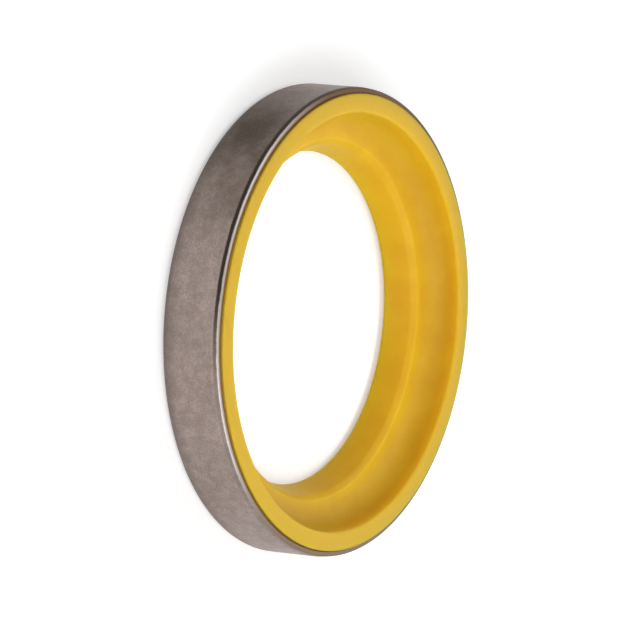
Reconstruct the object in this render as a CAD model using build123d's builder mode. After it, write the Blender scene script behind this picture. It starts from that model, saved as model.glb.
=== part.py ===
"""A hydraulic rod wiper seal: a drawn steel case with a polyurethane lip ring bonded into it.

Millimetres. +Z is the seal's axis and points out of its open face. The origin is at the
centre of the case's back face, the flat face that the seal lies on.
"""

import os

from build123d import *

# Steel case
case_diameter = 69.85
case_height = 9.9
case_wall = 0.9
bend_inner_radius = 0.5
flange_width = 6.0
lead_in_length = 1.1
lead_in_depth = 0.15
open_edge_rounding = 0.35

# Open face of the lip ring, from the case's wall inwards
rim_rise = 0.5
rim_width = 2.9
rim_outer_rounding = 0.45
rim_inner_wall = 1.35
rim_inner_rounding = 0.4
cove_radius = 3.45
crest_width = 0.75
nose_radius = 0.5

# Bore of the lip ring, from the crest down to the lip
throat_depth = 0.75
throat_step = 0.8
throat_rounding = 0.8
bore_taper = 1.25
lip_land = 0.5
lip_setback = 0.85

# Back of the lip ring
back_margin = 1.2
back_recess = 0.15

# The ring is bonded to the case all over, so their faces meet
bond_gap = 0.0

case_radius = case_diameter / 2
case_bore_radius = case_radius - case_wall
flange_hole_radius = case_radius - flange_width

seat_radius = case_bore_radius - bond_gap
seat_height = case_wall + bond_gap
seat_hole_radius = flange_hole_radius - bond_gap

rim_top = case_height + rim_rise
rim_inner_radius = seat_radius - rim_width
cove_top = rim_top - rim_inner_wall
crest_top = cove_top - cove_radius
crest_outer_radius = rim_inner_radius - cove_radius
crest_inner_radius = crest_outer_radius - crest_width
throat_radius = crest_inner_radius - throat_step
throat_height = crest_top - throat_depth
lip_radius = throat_radius - bore_taper


def corner(section, radius, height):
    """The corner of a half section that lies nearest a radius and a height."""
    return section.vertices().sort_by_distance(Vector(radius, height))[0]


# Drawn steel case: a short cylinder with its back edge turned in as a flange
with BuildPart() as steel_case:
    with BuildSketch(Plane.XZ) as case_section:
        with BuildLine():
            Polyline(
                (flange_hole_radius, 0),
                (case_radius, 0),
                (case_radius, case_height - lead_in_length),
                (case_radius - lead_in_depth, case_height),
                (case_bore_radius, case_height),
                (case_bore_radius, case_wall),
                (flange_hole_radius, case_wall),
                close=True,
            )
        make_face()
        fillet(corner(case_section, case_radius, 0), bend_inner_radius + case_wall)
        fillet(corner(case_section, case_bore_radius, case_wall), bend_inner_radius)
        fillet(
            corner(case_section, case_radius - lead_in_depth, case_height),
            open_edge_rounding,
        )
    revolve(axis=Axis.Z)

# Polyurethane lip ring: a flat rim, a quarter-round cove, a crest and a tapered bore
with BuildPart() as lip_ring:
    with BuildSketch(Plane.XZ) as ring_section:
        with BuildLine():
            Polyline(
                (rim_inner_radius, cove_top),
                (rim_inner_radius, rim_top),
                (seat_radius, rim_top),
                (seat_radius, seat_height),
                (seat_hole_radius, seat_height),
                (seat_hole_radius, back_recess),
                (seat_hole_radius - back_margin, back_recess),
                (lip_radius, lip_setback),
                (lip_radius, lip_setback + lip_land),
                (throat_radius, throat_height),
                (crest_inner_radius, crest_top),
                (crest_outer_radius, crest_top),
            )
            CenterArc((crest_outer_radius, cove_top), cove_radius, -90, 90)
        make_face()
        fillet(corner(ring_section, seat_radius, rim_top), rim_outer_rounding)
        fillet(corner(ring_section, rim_inner_radius, rim_top), rim_inner_rounding)
        fillet(corner(ring_section, crest_inner_radius, crest_top), nose_radius)
        fillet(corner(ring_section, throat_radius, throat_height), throat_rounding)
        fillet(corner(ring_section, seat_radius, seat_height), bend_inner_radius)
    revolve(axis=Axis.Z)

steel_case.part.label = "steel_case"
lip_ring.part.label = "lip_ring"

os.makedirs("parts", exist_ok=True)
export_step(steel_case.part, "parts/steel_case.step")
export_step(lip_ring.part, "parts/lip_ring.step")
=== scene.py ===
"""A hydraulic rod wiper seal lying on a pale floor: a steel case and a polyurethane lip ring."""

import math

import bmesh
import bpy
from mathutils import Matrix, Vector


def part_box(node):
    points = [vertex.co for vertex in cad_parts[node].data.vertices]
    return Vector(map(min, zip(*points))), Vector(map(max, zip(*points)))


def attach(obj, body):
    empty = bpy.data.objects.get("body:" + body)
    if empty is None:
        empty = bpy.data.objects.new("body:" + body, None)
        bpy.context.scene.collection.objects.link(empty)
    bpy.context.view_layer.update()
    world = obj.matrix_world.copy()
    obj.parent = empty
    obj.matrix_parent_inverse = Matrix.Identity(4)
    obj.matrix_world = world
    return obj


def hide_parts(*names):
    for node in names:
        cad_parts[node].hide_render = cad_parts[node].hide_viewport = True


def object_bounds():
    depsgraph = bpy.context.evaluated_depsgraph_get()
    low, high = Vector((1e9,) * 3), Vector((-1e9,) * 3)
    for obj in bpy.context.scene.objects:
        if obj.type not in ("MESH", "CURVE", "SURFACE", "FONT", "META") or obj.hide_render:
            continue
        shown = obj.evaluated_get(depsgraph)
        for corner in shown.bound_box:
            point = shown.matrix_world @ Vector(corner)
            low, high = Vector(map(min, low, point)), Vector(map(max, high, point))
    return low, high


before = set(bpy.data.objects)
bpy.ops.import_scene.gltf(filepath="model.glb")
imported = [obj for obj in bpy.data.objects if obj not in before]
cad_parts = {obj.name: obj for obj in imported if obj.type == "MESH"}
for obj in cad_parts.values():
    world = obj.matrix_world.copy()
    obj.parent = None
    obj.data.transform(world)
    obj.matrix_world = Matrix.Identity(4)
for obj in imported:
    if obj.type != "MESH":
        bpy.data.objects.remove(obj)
cad_low, cad_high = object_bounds()

MM = 0.001
TURN = 2 * math.pi

# Directions from the seal's axis: out of the open face, towards the camera, and to its left
UP = (0, 0, 1)
NEAR = (0, -1, 0)
LEFT = (-1, 0, 0)

# The case and the ring, as the frame holds them
_, case_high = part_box("steel_case")
ring_low, ring_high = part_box("lip_ring")
case_radius = case_high.x
case_height = case_high.z
seat_radius = ring_high.x
rim_top = ring_high.z
back_face = ring_low.z
case_wall = case_radius - seat_radius
seal_centre = (cad_low + cad_high) / 2

# Steel case
bend_inner_radius = 0.5 * MM
flange_width = 6.0 * MM
lead_in_length = 1.1 * MM
lead_in_depth = 0.15 * MM
open_edge_rounding = 0.35 * MM
lead_in_blend = 0.9 * MM
inner_edge_break = 0.1 * MM

# Lip ring, from the case's wall inwards and down to the lip
rim_width = 2.9 * MM
rim_outer_rounding = 0.45 * MM
rim_inner_wall = 1.35 * MM
rim_inner_rounding = 0.4 * MM
cove_radius = 3.45 * MM
crest_width = 0.75 * MM
nose_radius = 0.5 * MM
throat_depth = 0.75 * MM
throat_step = 0.8 * MM
throat_rounding = 0.8 * MM
bore_taper = 1.25 * MM
lip_land = 0.5 * MM
lip_setback = 0.85 * MM
back_margin = 1.2 * MM

# Marks on the case, as depths below its open edge: where the painted dark reflection in the
# lead-in starts and is full, and where the bare band with its painted highlight starts and is
# full
dark_reflection_start = 0.85 * MM
dark_reflection_full = 0.60 * MM
edge_band_start = 0.20 * MM
edge_band_full = 0.10 * MM

# Patches of painted dark reflection and shadow on the case's outside: angle in degrees from the
# near side towards the left, height, how far each one spreads and how dark it is
DARK_REFLECTION_PATCHES = [
    (60, 3.5 * MM, 20 * MM, 0.58),
    (49, 5.0 * MM, 10.5 * MM, 0.80),
    (32, 8.4 * MM, 14 * MM, 0.48),
]

# How finely the pieces are turned, and how near two places count as one
TURN_STEPS = 384
COVE_STEPS = 20
SAME_PLACE = 0.001 * MM

# Studio, in metres: the lamps' distance and width, the floor's radius, and how far out
# its glow starts to grow and is full
LAMP_DISTANCE = 0.7
LAMP_SIZE = 0.58
FLOOR_RADIUS = 6.0
GLOW_START = 0.08
GLOW_FULL = 0.90

flange_hole_radius = case_radius - flange_width
case_bore_radius = case_radius - case_wall
rim_inner_radius = seat_radius - rim_width
cove_top = rim_top - rim_inner_wall
crest_top = cove_top - cove_radius
crest_outer_radius = rim_inner_radius - cove_radius
crest_inner_radius = crest_outer_radius - crest_width
throat_radius = crest_inner_radius - throat_step
throat_height = crest_top - throat_depth
lip_radius = throat_radius - bore_taper


# Objects


def new_object(name, data):
    """A new object in the scene."""
    made = bpy.data.objects.new(name, data)
    bpy.context.scene.collection.objects.link(made)
    return made


def mesh_object(name, bm, material):
    """A new object from a finished bmesh, in one material."""
    mesh = bpy.data.meshes.new(name)
    bm.to_mesh(mesh)
    bm.free()
    mesh.materials.append(material)
    return new_object(name, mesh)


# Turned pieces


def section_loop(bm, corners):
    """A closed half section in the XZ plane, from its corners as (radius, height)."""
    verts = [bm.verts.new((radius, 0, height)) for radius, height in corners]
    for a, b in zip(verts, verts[1:] + verts[:1]):
        bm.edges.new((a, b))
    return verts


def spin_section(bm):
    """Turns the half section once round the seal's axis."""
    bmesh.ops.spin(
        bm,
        geom=bm.verts[:] + bm.edges[:],
        cent=(0, 0, 0),
        axis=(0, 0, 1),
        dvec=(0, 0, 0),
        angle=TURN,
        steps=TURN_STEPS,
        use_merge=True,
    )
    bmesh.ops.recalc_face_normals(bm, faces=bm.faces[:])


def corner_loop(bm, radius, height):
    """The edges of the ring-shaped corner at a radius and a height."""

    def on_corner(vert):
        same_radius = abs(vert.co.xy.length - radius) < SAME_PLACE
        return same_radius and abs(vert.co.z - height) < SAME_PLACE

    return [edge for edge in bm.edges if all(on_corner(v) for v in edge.verts)]


def round_corner(bm, radius, height, rounding, segments):
    """Rounds the ring-shaped corner at a radius and a height."""
    edges = corner_loop(bm, radius, height)
    turn = edges[0].calc_face_angle()
    start_from_corner = rounding * math.tan(turn / 2)
    bmesh.ops.bevel(
        bm,
        geom=edges,
        offset=start_from_corner,
        offset_type="OFFSET",
        segments=segments,
        profile=0.5,
        affect="EDGES",
        clamp_overlap=True,
        material=-1,
    )


def turned_piece(name, bm, material):
    """A finished object from a turned mesh, smooth, with its wide faces kept true."""
    piece = mesh_object(name, bm, material)
    piece.data.shade_smooth()
    weights = piece.modifiers.new("true_faces", "WEIGHTED_NORMAL")
    weights.weight = 80
    return piece


def make_case(material):
    """The drawn steel case, with its turned-in back flange and its trimmed open edge."""
    bm = bmesh.new()
    section_loop(
        bm,
        [
            (flange_hole_radius, 0),
            (case_radius, 0),
            (case_radius, case_height - lead_in_length),
            (case_radius - lead_in_depth, case_height),
            (case_bore_radius, case_height),
            (case_bore_radius, case_wall),
            (flange_hole_radius, case_wall),
        ],
    )
    spin_section(bm)
    round_corner(bm, case_radius, 0, bend_inner_radius + case_wall, segments=10)
    round_corner(bm, case_bore_radius, case_wall, bend_inner_radius, segments=4)
    round_corner(bm, case_radius - lead_in_depth, case_height, open_edge_rounding, segments=6)
    round_corner(bm, case_radius, case_height - lead_in_length, lead_in_blend, segments=2)
    round_corner(bm, case_bore_radius, case_height, inner_edge_break, segments=3)
    return turned_piece("case_shell", bm, material)


def make_ring(material):
    """The moulded lip ring: rim, cove, crest, tapered bore, lip and back."""
    bm = bmesh.new()
    section = section_loop(
        bm,
        [
            (rim_inner_radius, rim_top),
            (seat_radius, rim_top),
            (seat_radius, case_wall),
            (flange_hole_radius, case_wall),
            (flange_hole_radius, back_face),
            (flange_hole_radius - back_margin, back_face),
            (lip_radius, lip_setback),
            (lip_radius, lip_setback + lip_land),
            (throat_radius, throat_height),
            (crest_inner_radius, crest_top),
            (crest_outer_radius, crest_top),
        ],
    )

    # The rim's inner wall and the cove take the place of the straight closing edge
    closing = bm.edges.get((section[-1], section[0]))
    bm.edges.remove(closing)
    cove_start = bm.verts.new((rim_inner_radius, 0, cove_top))
    bm.edges.new((cove_start, section[0]))
    bmesh.ops.spin(
        bm,
        geom=[cove_start],
        cent=(crest_outer_radius, 0, cove_top),
        axis=(0, 1, 0),
        dvec=(0, 0, 0),
        angle=TURN / 4,
        steps=COVE_STEPS,
    )
    bmesh.ops.remove_doubles(bm, verts=bm.verts[:], dist=SAME_PLACE)

    spin_section(bm)
    round_corner(bm, seat_radius, rim_top, rim_outer_rounding, segments=6)
    round_corner(bm, rim_inner_radius, rim_top, rim_inner_rounding, segments=6)
    round_corner(bm, crest_inner_radius, crest_top, nose_radius, segments=6)
    round_corner(bm, throat_radius, throat_height, throat_rounding, segments=3)
    round_corner(bm, seat_radius, case_wall, bend_inner_radius, segments=4)
    return turned_piece("ring_moulding", bm, material)


# Colours


def srgb(red, green, blue):
    """A linear colour from the 0 to 255 values that a screen shows."""

    def linear(value):
        value /= 255
        if value <= 0.04045:
            return value / 12.92
        return ((value + 0.055) / 1.055) ** 2.4

    return (linear(red), linear(green), linear(blue), 1.0)


# The coat on the steel
COAT_DARK = srgb(146, 131, 124)
COAT_PALE = srgb(166, 151, 144)
COAT_PATCH = srgb(118, 105, 96)
COAT_GRAIN = srgb(122, 109, 102)
# Painted shade towards the back bend
SHADE_AT_BEND = srgb(92, 82, 76)

# What marks the coat
# Painted dark reflection and shadow on the coat, and a painted dark reflection in the lead-in
DARK_REFLECTION = srgb(60, 47, 32)
LEAD_IN_DARK_REFLECTION = srgb(48, 41, 37)

# The case's open edge: bare, painted lighter on the right and darker on the left, its painted
# highlight, and its inner land
BARE_PAINTED_LIT_RIGHT = srgb(120, 100, 80)
BARE_PAINTED_SHADE_LEFT = srgb(98, 72, 42)
PAINTED_EDGE_HIGHLIGHT = srgb(166, 160, 156)
INNER_LAND = srgb(112, 88, 58)

# The polyurethane, its painted sheen on the rim, and the dark line at its edge
YELLOW_DEEP = srgb(227, 178, 11)
YELLOW_PALE = srgb(231, 185, 17)
YELLOW_PAINTED_SHEEN = srgb(228, 179, 28)
DARK_JOINT_LINE = srgb(84, 52, 18)

# The studio
ROOM_WHITE = (1, 1, 1, 1)
FLOOR_WHITE = (0.80, 0.80, 0.80, 1)


# Materials


class Nodes:
    """A short way to add and join the nodes of a material or the world."""

    def __init__(self, owner):
        owner.use_nodes = True
        self.owner = owner
        self.tree = owner.node_tree
        self.tree.nodes.clear()

    def add(self, kind, **settings):
        node = self.tree.nodes.new(kind)
        for key, value in settings.items():
            setattr(node, key, value)
        return node

    def join(self, output, socket):
        self.tree.links.new(output, socket)

    def feed(self, socket, value):
        """Joins an output to a socket, or sets the socket to a plain value."""
        if isinstance(value, bpy.types.NodeSocket):
            self.join(value, socket)
        else:
            socket.default_value = value

    def math(self, operation, a, b):
        node = self.add("ShaderNodeMath", operation=operation)
        self.feed(node.inputs[0], a)
        self.feed(node.inputs[1], b)
        return node.outputs[0]

    def coordinates(self):
        """The piece's own coordinates."""
        return self.add("ShaderNodeTexCoord").outputs["Object"]

    def along(self, coordinates, direction):
        """How far each place on the piece lies along a direction from the seal's axis."""
        node = self.add("ShaderNodeVectorMath", operation="DOT_PRODUCT")
        self.join(coordinates, node.inputs[0])
        node.inputs[1].default_value = direction
        return node.outputs["Value"]

    def radius(self, coordinates):
        """How far each place on the piece is from the seal's axis."""
        flat = self.add("ShaderNodeVectorMath", operation="MULTIPLY")
        self.join(coordinates, flat.inputs[0])
        flat.inputs[1].default_value = (1, 1, 0)
        reach = self.add("ShaderNodeVectorMath", operation="LENGTH")
        self.join(flat.outputs[0], reach.inputs[0])
        return reach.outputs["Value"]

    def distance(self, coordinates, point):
        """How far each place on the piece is from a point."""
        node = self.add("ShaderNodeVectorMath", operation="DISTANCE")
        self.join(coordinates, node.inputs[0])
        node.inputs[1].default_value = point
        return node.outputs["Value"]

    def noise(self, coordinates, size, detail=3.0, roughness=0.5):
        """Noise with features about size metres across."""
        node = self.add("ShaderNodeTexNoise")
        self.join(coordinates, node.inputs["Vector"])
        node.inputs["Scale"].default_value = 1 / size
        node.inputs["Detail"].default_value = detail
        node.inputs["Roughness"].default_value = roughness
        return node.outputs["Fac"]

    def ripple(self, noise, size):
        """A length that swings with noise to both sides of zero, over a range of size."""
        return self.math("MULTIPLY", self.math("SUBTRACT", noise, 0.5), size)

    def fade(self, value, low, high, out_low=0.0, out_high=1.0):
        """A smooth step of a value from out_low at low to out_high at high."""
        node = self.add("ShaderNodeMapRange", interpolation_type="SMOOTHSTEP")
        self.join(value, node.inputs["Value"])
        node.inputs["From Min"].default_value = low
        node.inputs["From Max"].default_value = high
        node.inputs["To Min"].default_value = out_low
        node.inputs["To Max"].default_value = out_high
        return node.outputs["Result"]

    def blend(self, share, a, b):
        """A colour between a and b."""
        node = self.add("ShaderNodeMix", data_type="RGBA")
        self.join(share, node.inputs[0])
        self.feed(node.inputs[6], a)
        self.feed(node.inputs[7], b)
        return node.outputs[2]

    def bump(self, height, distance, strength, below=None):
        """Relief from a height, over the relief below it if there is one."""
        node = self.add("ShaderNodeBump")
        self.join(height, node.inputs["Height"])
        node.inputs["Distance"].default_value = distance
        node.inputs["Strength"].default_value = strength
        if below is not None:
            self.join(below, node.inputs["Normal"])
        return node.outputs["Normal"]

    def seen(self):
        """1 where the camera, a reflection or clear material looks, 0 for other light."""
        path = self.add("ShaderNodeLightPath")
        seen = self.math("MAXIMUM", path.outputs["Is Camera Ray"], path.outputs["Is Glossy Ray"])
        return self.math("MAXIMUM", seen, path.outputs["Is Transmission Ray"])

    def surface(self, shader, output="ShaderNodeOutputMaterial"):
        """Joins a shader to the output, and returns the material or world that is finished."""
        self.join(shader.outputs[0], self.add(output).inputs["Surface"])
        return self.owner


def wall_point(angle, height):
    """A point on the case's outside, at an angle from the near side towards the left."""
    return (-case_radius * math.sin(angle), -case_radius * math.cos(angle), height)


def coat_colour(nodes, coordinates, grain, mottle):
    """The coat's own colour: mottled, with darker patches and a fine grain."""
    patches = nodes.noise(coordinates, 17 * MM, detail=2.0)
    coat = nodes.blend(nodes.fade(mottle, 0.30, 0.70), COAT_DARK, COAT_PALE)
    coat = nodes.blend(nodes.fade(patches, 0.46, 0.70, 0.0, 0.3), coat, COAT_PATCH)
    return nodes.blend(nodes.fade(grain, 0.35, 0.65, 0.0, 0.35), coat, COAT_GRAIN)


def add_dark_reflections(nodes, coordinates, coat):
    """Paints dark reflection and shadow onto the coat round the middle of each patch, out to a
    ragged outline.
    """
    ragged = nodes.ripple(nodes.noise(coordinates, 5 * MM, roughness=0.6), 9 * MM)
    for angle, height, spread, depth in DARK_REFLECTION_PATCHES:
        middle = wall_point(math.radians(angle), height)
        reach = nodes.math("ADD", nodes.distance(coordinates, middle), ragged)
        coat = nodes.blend(nodes.fade(reach, 0, spread, depth, 0.0), coat, DARK_REFLECTION)
    return coat


def add_lead_in_dark_reflection(nodes, wavy_height, left, coat):
    """Darkens the lead-in with a painted dark reflection, and much less so on the right."""
    lead_in = nodes.fade(wavy_height, case_height - dark_reflection_start, case_height - dark_reflection_full)
    dark_side_share = nodes.fade(left, -0.40 * case_radius, 0.10 * case_radius, 0.20, 1.0)
    return nodes.blend(nodes.math("MULTIPLY", lead_in, dark_side_share), coat, LEAD_IN_DARK_REFLECTION)


def edge_highlight_share(nodes, near, left):
    """How strongly the painted highlight shows on the open edge: not at all on the far side,
    little on the right.
    """
    near_share = nodes.fade(near, 0.25 * case_radius, 0.85 * case_radius, 0.0, 0.80)
    kept = nodes.fade(left, -0.95 * case_radius, -0.60 * case_radius, 0.3, 1.0)
    return nodes.math("MULTIPLY", near_share, kept)


def add_bare_edge(nodes, left, edge, edge_highlight, coat):
    """Bares the open edge: brown all round, painted lighter on the right and darker on the left,
    and bright with a painted highlight on its near side.
    """
    side = nodes.fade(left, -0.5 * case_radius, 0.5 * case_radius)
    bare = nodes.blend(side, BARE_PAINTED_LIT_RIGHT, BARE_PAINTED_SHADE_LEFT)
    coat = nodes.blend(nodes.math("MULTIPLY", edge, 0.9), coat, bare)
    return nodes.blend(edge_highlight, coat, PAINTED_EDGE_HIGHLIGHT)


def add_inner_land(nodes, radius, height, coat):
    """Browns the narrow land round the inside of the open edge."""
    land_end = case_bore_radius + 0.06 * MM
    inside = nodes.fade(radius, land_end, land_end + 0.08 * MM, 1.0, 0.0)
    top = nodes.fade(height, case_height - edge_band_start, case_height - edge_band_full)
    return nodes.blend(nodes.math("MULTIPLY", inside, top), coat, INNER_LAND)


def shade_bend(nodes, radius, height, coat):
    """Darkens the outside towards the bend at its back edge with painted shade, where the
    floor's contact shadow falls.
    """
    at_bend = nodes.fade(height, 0.2 * MM, 3.2 * MM, 0.55, 0.0)
    outside = nodes.fade(radius, case_radius - 1.3 * MM, case_radius - 1.0 * MM)
    return nodes.blend(nodes.math("MULTIPLY", at_bend, outside), coat, SHADE_AT_BEND)


def phosphated_steel():
    """Matt grey-brown coated steel, with patches of painted dark reflection and shadow, a
    painted dark reflection in the lead-in, painted shade towards the back bend, and a bare open
    edge with a painted highlight.
    """
    nodes = Nodes(bpy.data.materials.new("case_steel"))
    coordinates = nodes.coordinates()
    radius = nodes.radius(coordinates)
    height = nodes.along(coordinates, UP)
    near = nodes.along(coordinates, NEAR)
    left = nodes.along(coordinates, LEFT)

    grain = nodes.noise(coordinates, 0.30 * MM, roughness=0.6)
    mottle = nodes.noise(coordinates, 1.6 * MM, detail=4.0, roughness=0.6)
    wavy_height = nodes.math("ADD", height, nodes.ripple(mottle, 0.25 * MM))
    edge = nodes.fade(wavy_height, case_height - edge_band_start, case_height - edge_band_full)
    # Painted highlight along the open edge, on the near side
    edge_highlight = nodes.math("MULTIPLY", edge, edge_highlight_share(nodes, near, left))

    coat = coat_colour(nodes, coordinates, grain, mottle)
    # Painted dark reflection and shadow, in patches
    coat = add_dark_reflections(nodes, coordinates, coat)
    # Painted dark reflection in the lead-in
    coat = add_lead_in_dark_reflection(nodes, wavy_height, left, coat)
    # Bare open edge, painted lighter on the right, with its painted highlight
    coat = add_bare_edge(nodes, left, edge, edge_highlight, coat)
    coat = add_inner_land(nodes, radius, height, coat)
    # Painted shade towards the back bend
    coat = shade_bend(nodes, radius, height, coat)

    matt = nodes.fade(grain, 0.3, 0.7, 0.48, 0.62)
    smoother = nodes.math("MULTIPLY", edge_highlight, -0.24)
    fine = nodes.bump(grain, 0.02 * MM, 0.5)

    shader = nodes.add("ShaderNodeBsdfPrincipled")
    shader.inputs["Metallic"].default_value = 0.8
    nodes.join(coat, shader.inputs["Base Color"])
    nodes.join(nodes.math("ADD", matt, smoother), shader.inputs["Roughness"])
    nodes.join(nodes.bump(mottle, 0.03 * MM, 0.4, below=fine), shader.inputs["Normal"])
    return nodes.surface(shader)


def add_dark_joint_line(nodes, coordinates, tint):
    """A dark line where the ring meets the case, fading out on the far side."""
    near = nodes.along(coordinates, NEAR)
    radius = nodes.radius(coordinates)
    at_joint = nodes.fade(radius, seat_radius - 0.16 * MM, seat_radius - 0.04 * MM)
    line_darkness = nodes.fade(near, 0.3 * seat_radius, seat_radius, 0.78, 0.52)
    line_darkness = nodes.math("MULTIPLY", line_darkness, nodes.fade(near, -0.6 * seat_radius, 0.0))
    return nodes.blend(nodes.math("MULTIPLY", at_joint, line_darkness), tint, DARK_JOINT_LINE)


def yellow_polyurethane():
    """Satin yellow polyurethane, a little clear, with a painted sheen towards the rim's top and
    a dark line at the case's edge.
    """
    nodes = Nodes(bpy.data.materials.new("polyurethane"))
    coordinates = nodes.coordinates()
    height = nodes.along(coordinates, UP)
    skin = nodes.noise(coordinates, 0.45 * MM)
    cloud = nodes.noise(coordinates, 5 * MM)

    tint = nodes.blend(nodes.fade(cloud, 0.35, 0.65), YELLOW_DEEP, YELLOW_PALE)
    # Painted sheen: paler towards the rim's top
    tint = nodes.blend(nodes.fade(height, cove_top, rim_top, 0.0, 0.8), tint, YELLOW_PAINTED_SHEEN)
    tint = add_dark_joint_line(nodes, coordinates, tint)

    shader = nodes.add("ShaderNodeBsdfPrincipled")
    shader.inputs["Specular IOR Level"].default_value = 0.20
    shader.inputs["Subsurface Weight"].default_value = 1.0
    shader.inputs["Subsurface Radius"].default_value = (1.0, 0.75, 0.30)
    shader.inputs["Subsurface Scale"].default_value = 5 * MM
    nodes.join(tint, shader.inputs["Base Color"])
    nodes.join(nodes.fade(skin, 0.3, 0.7, 0.48, 0.60), shader.inputs["Roughness"])
    nodes.join(nodes.bump(skin, 0.015 * MM, 0.35), shader.inputs["Normal"])
    return nodes.surface(shader)


def floor_paint():
    """Pale paint that looks white to the camera and still takes the seal's shadow."""
    nodes = Nodes(bpy.data.materials.new("pale_floor"))
    paint = nodes.add("ShaderNodeBsdfDiffuse")
    paint.inputs["Color"].default_value = FLOOR_WHITE

    # The glow makes up for the lamps, whose light falls off further out
    outwards = nodes.radius(nodes.coordinates())
    level = nodes.fade(outwards, GLOW_START, GLOW_FULL, 0.42, 1.0)
    glow = nodes.add("ShaderNodeEmission")
    nodes.join(nodes.math("MULTIPLY", nodes.seen(), level), glow.inputs["Strength"])

    both = nodes.add("ShaderNodeAddShader")
    nodes.join(paint.outputs[0], both.inputs[0])
    nodes.join(glow.outputs[0], both.inputs[1])
    return nodes.surface(both)


# Studio


def pale_floor(paint):
    """A wide plain round floor."""
    bm = bmesh.new()
    bmesh.ops.create_circle(bm, cap_ends=True, radius=FLOOR_RADIUS, segments=96)
    mesh_object("floor", bm, paint)


def white_world(level):
    """A plain world that lights the seal at a level and looks white to the camera."""
    nodes = Nodes(bpy.data.worlds.new("white_room"))

    def background(strength):
        node = nodes.add("ShaderNodeBackground")
        node.inputs["Color"].default_value = ROOM_WHITE
        node.inputs["Strength"].default_value = strength
        return node.outputs[0]

    mix = nodes.add("ShaderNodeMixShader")
    nodes.join(nodes.seen(), mix.inputs[0])
    nodes.join(background(level), mix.inputs[1])
    nodes.join(background(1.0), mix.inputs[2])
    bpy.context.scene.world = nodes.surface(mix, "ShaderNodeOutputWorld")


def soft_lamp(name, direction, power):
    """A round soft lamp that faces the seal from a direction."""
    data = bpy.data.lights.new(name, "AREA")
    data.shape = "DISK"
    data.size = LAMP_SIZE
    data.energy = power
    lamp = new_object(name, data)
    back = Vector(direction).normalized()
    lamp.location = seal_centre + back * LAMP_DISTANCE
    lamp.rotation_euler = (-back).to_track_quat("-Z", "Y").to_euler()


def make_camera(elevation, roll, distance, frame_height):
    """Looks down on the seal, turned so that its axis points to the picture's right.

    The picture takes in frame_height metres at the seal's centre.
    """
    data = bpy.data.cameras.new("camera")
    data.sensor_width = 36
    data.lens = data.sensor_width * distance / frame_height
    data.clip_start = 0.01
    data.clip_end = 20
    camera = new_object("camera", data)
    back = Vector((0, -math.cos(elevation), math.sin(elevation)))
    aim = (-back).to_track_quat("-Z", "Y").to_matrix().to_4x4()
    turn = Matrix.Rotation(roll, 4, "Z")
    camera.matrix_world = Matrix.Translation(seal_centre + back * distance) @ aim @ turn
    bpy.context.scene.camera = camera


# Scene

case = make_case(phosphated_steel())
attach(case, "root")
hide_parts("steel_case")

ring = make_ring(yellow_polyurethane())
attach(ring, "root")
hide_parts("lip_ring")

pale_floor(floor_paint())
white_world(level=0.05)
soft_lamp("key", direction=(0.54, -0.09, 0.84), power=2.2)
soft_lamp("front", direction=(0.38, -0.77, 0.52), power=2.3)
soft_lamp("fill", direction=(-0.47, 0.27, 0.84), power=1.8)
soft_lamp("back", direction=(-0.05, 0.85, 0.53), power=0.65)
make_camera(
    elevation=math.radians(32.17),
    roll=math.radians(95.34),
    distance=1.0,
    frame_height=0.09496,
)
bpy.context.scene.view_settings.view_transform = "Standard"
